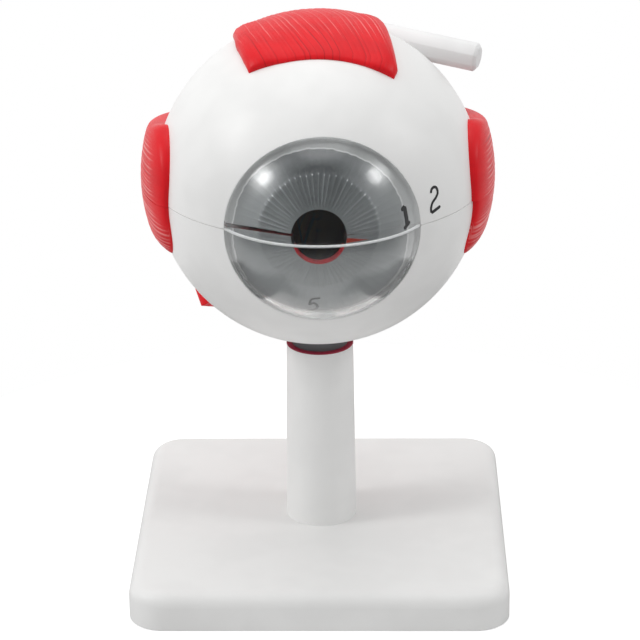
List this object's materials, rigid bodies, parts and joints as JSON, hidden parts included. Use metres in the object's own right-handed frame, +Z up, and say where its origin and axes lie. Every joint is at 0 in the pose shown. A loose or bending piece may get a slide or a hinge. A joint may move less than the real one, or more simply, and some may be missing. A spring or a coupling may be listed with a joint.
{
  "type": "eye anatomy model",
  "caption": "Dissectible classroom eye on a post and square base: white sclera halves, clear cornea, ridged grey iris, red muscles, lens and vitreous body inside.",
  "frame": {"origin": "middle of the base's underside, on the table", "axes": "+Z up along the post, the cornea looks along -Y, the nose side is +X"},
  "size_m": [0.14, 0.14, 0.2118],
  "materials": {
    "white_abs": "white moulded ABS, fine satin grain",
    "sclera_white": "white moulded plastic, satin",
    "clear_acrylic": "clear polished acrylic",
    "lens_acrylic": "clear polished acrylic",
    "vitreous_acrylic": "clear moulded acrylic",
    "muscle_red": "red lacquered plastic with moulded fibre lines",
    "tendon_white": "white moulded plastic rod",
    "nerve_cream": "cream painted plastic",
    "choroid_brown": "dark red-brown painted plastic",
    "retina_orange": "orange painted plastic",
    "ciliary_brown": "dark brown painted plastic",
    "iris_grey": "blue-grey painted plastic with radial ridges",
    "neck_grey": "grey moulded nylon",
    "washer_red": "thin red washer",
    "insert_brass": "turned brass",
    "zinc_steel": "zinc-plated steel"
  },
  "bodies": {
    "stand": {"base_plate": "white_abs", "post": "white_abs", "post_insert": "insert_brass", "post_screw": "zinc_steel", "post_washer": "zinc_steel", "rim_washer": "washer_red"},
    "lower_eye": {"neck_spigot": "neck_grey", "neck_screw": "zinc_steel", "sclera_lower": "sclera_white", "cornea_lower": "clear_acrylic", "lateral_rectus_lower": "muscle_red", "medial_rectus_lower": "muscle_red", "inferior_rectus": "muscle_red", "inferior_oblique": "muscle_red", "optic_nerve_lower": "nerve_cream", "locating_pegs": "zinc_steel"},
    "upper_eye": {"sclera_upper": "sclera_white", "cornea_upper": "clear_acrylic", "superior_rectus": "muscle_red", "lateral_rectus_upper": "muscle_red", "medial_rectus_upper": "muscle_red", "superior_oblique_tendon": "tendon_white", "optic_nerve_upper": "nerve_cream"},
    "inner_upper": {"choroid_upper": "choroid_brown", "retina_upper": "retina_orange", "ciliary_body_upper": "ciliary_brown", "iris_upper": "iris_grey"},
    "inner_lower": {"choroid_lower": "choroid_brown", "retina_lower": "retina_orange", "ciliary_body_lower": "ciliary_brown", "iris_lower": "iris_grey"},
    "vitreous": {"vitreous_front": "vitreous_acrylic", "vitreous_back": "vitreous_acrylic"},
    "lens": {"lens": "lens_acrylic"}
  },
  "joints": [
    {"name": "eye_swivel", "type": "hinge", "parent": "stand", "child": "lower_eye", "pos_m": [0, 0, 0.07], "axis": [0, 0, 1], "continuous": true},
    {"name": "upper_lift", "type": "slide", "parent": "lower_eye", "child": "upper_eye", "axis": [0, 0, 1], "range_m": [0, 0.24]},
    {"name": "inner_upper_lift", "type": "slide", "parent": "lower_eye", "child": "inner_upper", "axis": [0, 0, 1], "range_m": [0, 0.18]},
    {"name": "vitreous_lift", "type": "slide", "parent": "lower_eye", "child": "vitreous", "axis": [0, 0, 1], "range_m": [0, 0.12]},
    {"name": "inner_lower_lift", "type": "slide", "parent": "lower_eye", "child": "inner_lower", "axis": [0, 0, 1], "range_m": [0, 0.06]},
    {"name": "lens_draw", "type": "slide", "parent": "vitreous", "child": "lens", "axis": [0.0227, -0.9997, 0], "range_m": [0, 0.0168]}
  ],
  "couplings": [
    {"joint": "inner_upper_lift", "follows": "upper_lift", "ratio": 0.75},
    {"joint": "vitreous_lift", "follows": "upper_lift", "ratio": 0.5},
    {"joint": "inner_lower_lift", "follows": "upper_lift", "ratio": 0.25},
    {"joint": "lens_draw", "follows": "upper_lift", "ratio": 0.07}
  ]
}
